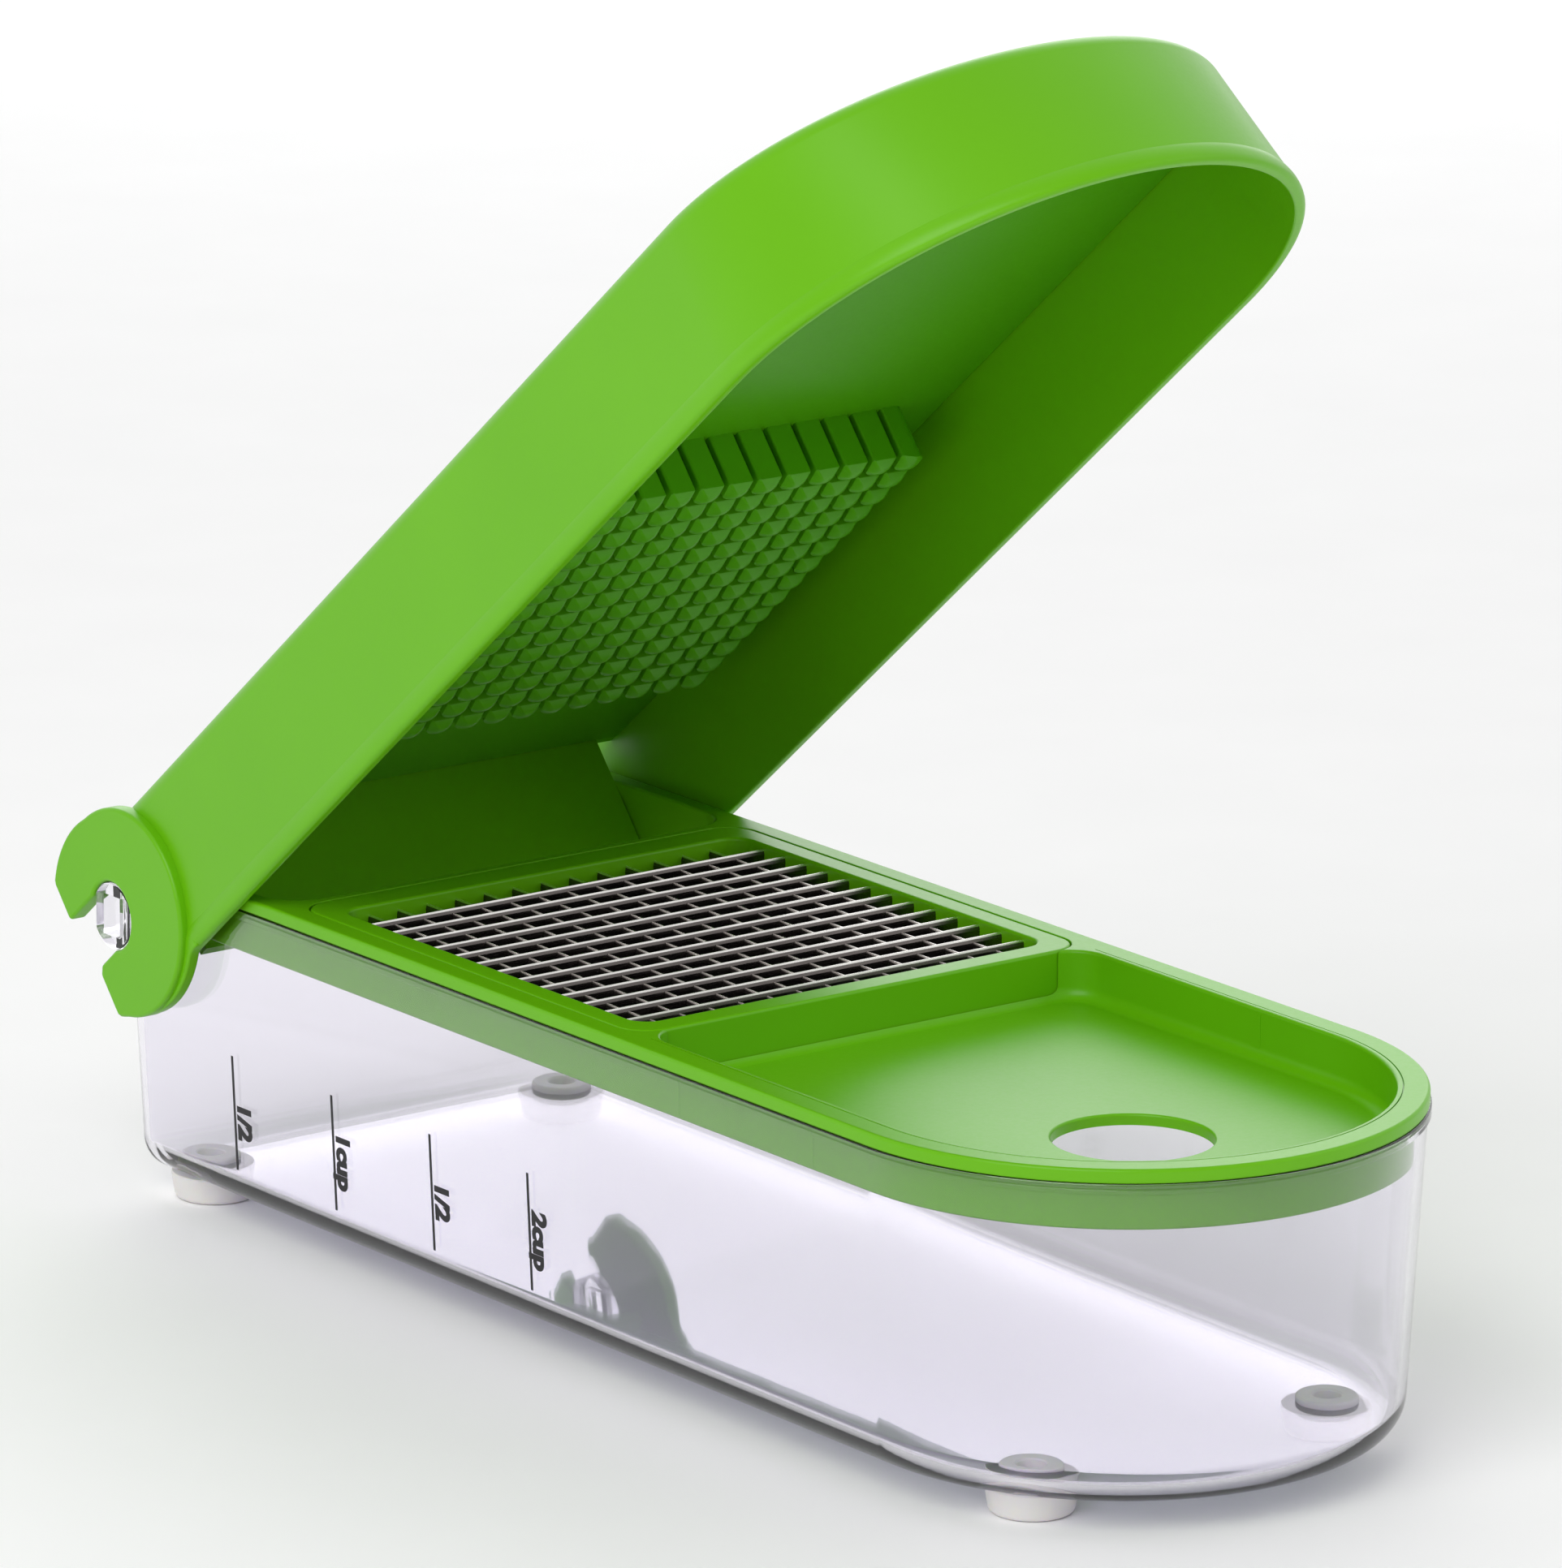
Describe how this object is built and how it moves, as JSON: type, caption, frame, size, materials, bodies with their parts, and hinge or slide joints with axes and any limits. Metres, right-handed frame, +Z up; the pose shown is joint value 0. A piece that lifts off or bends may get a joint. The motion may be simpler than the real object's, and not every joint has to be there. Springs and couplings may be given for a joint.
{
  "type": "vegetable dicer",
  "caption": "Hand press vegetable dicer: a hinged pusher lid drives food through a grid of blades into a clear container.",
  "frame": {"origin": "at the level that the feet stand on, midway along the whole length and on the centre line", "axes": "+Z up, -Y towards the rounded front, +Y towards the hinge, +X to the right seen from the front"},
  "size_m": [0.1156, 0.2908, 0.2414],
  "materials": {
    "clear_plastic": "clear moulded",
    "green_plastic": "satin moulded",
    "green_grid": "satin moulded",
    "blade_steel": "ground",
    "foot_rubber": "translucent"
  },
  "bodies": {
    "base": {"container": "clear_plastic", "foot_front_left": "foot_rubber", "foot_front_right": "foot_rubber", "foot_rear_left": "foot_rubber", "foot_rear_right": "foot_rubber", "insert_frame": "green_plastic", "blade_cassette": "green_plastic", "cross_blade_01": "blade_steel", "cross_blade_02": "blade_steel", "cross_blade_03": "blade_steel", "cross_blade_04": "blade_steel", "cross_blade_05": "blade_steel", "cross_blade_06": "blade_steel", "cross_blade_07": "blade_steel", "cross_blade_08": "blade_steel", "cross_blade_09": "blade_steel", "cross_blade_10": "blade_steel", "cross_blade_11": "blade_steel", "cross_blade_12": "blade_steel", "cross_blade_13": "blade_steel", "long_blade_01": "blade_steel", "long_blade_02": "blade_steel", "long_blade_03": "blade_steel", "long_blade_04": "blade_steel", "long_blade_05": "blade_steel", "long_blade_06": "blade_steel", "long_blade_07": "blade_steel", "long_blade_08": "blade_steel", "long_blade_09": "blade_steel", "long_blade_10": "blade_steel", "long_blade_11": "blade_steel", "long_blade_12": "blade_steel", "long_blade_13": "blade_steel"},
    "lid": {"lid_shell": "green_plastic", "pusher_grid": "green_grid"}
  },
  "joints": [
    {"name": "lid_hinge", "type": "hinge", "parent": "base", "child": "lid", "pos_m": [0, 0.12697, 0.0543], "axis": [-1, 0, 0], "range_deg": [-40, 52]}
  ]
}
